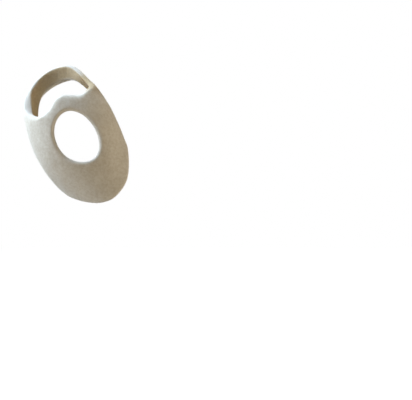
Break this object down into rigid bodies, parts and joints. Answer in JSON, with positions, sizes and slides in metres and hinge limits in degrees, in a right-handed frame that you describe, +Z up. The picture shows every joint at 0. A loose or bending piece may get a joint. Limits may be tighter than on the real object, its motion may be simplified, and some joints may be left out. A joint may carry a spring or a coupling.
{
  "type": "felt bunion pad",
  "caption": "Soft white felt pad that wraps the inner side of the big-toe joint, with an oval hole over the bunion and a loop round the big toe",
  "frame": {"origin": "the seat on the bunion: the middle of the oval hole, on the skin side of the felt", "axes": "+Z runs up the foot towards the toes, +Y into the foot from its inner side, +X towards the top of the foot; the toe loop leans 25 degrees towards the sole, at -X"},
  "size_m": [0.069, 0.0424, 0.0895],
  "materials": {
    "pressed_felt": "matt"
  },
  "bodies": {
    "root": {"felt_pad": "pressed_felt"}
  },
  "joints": []
}
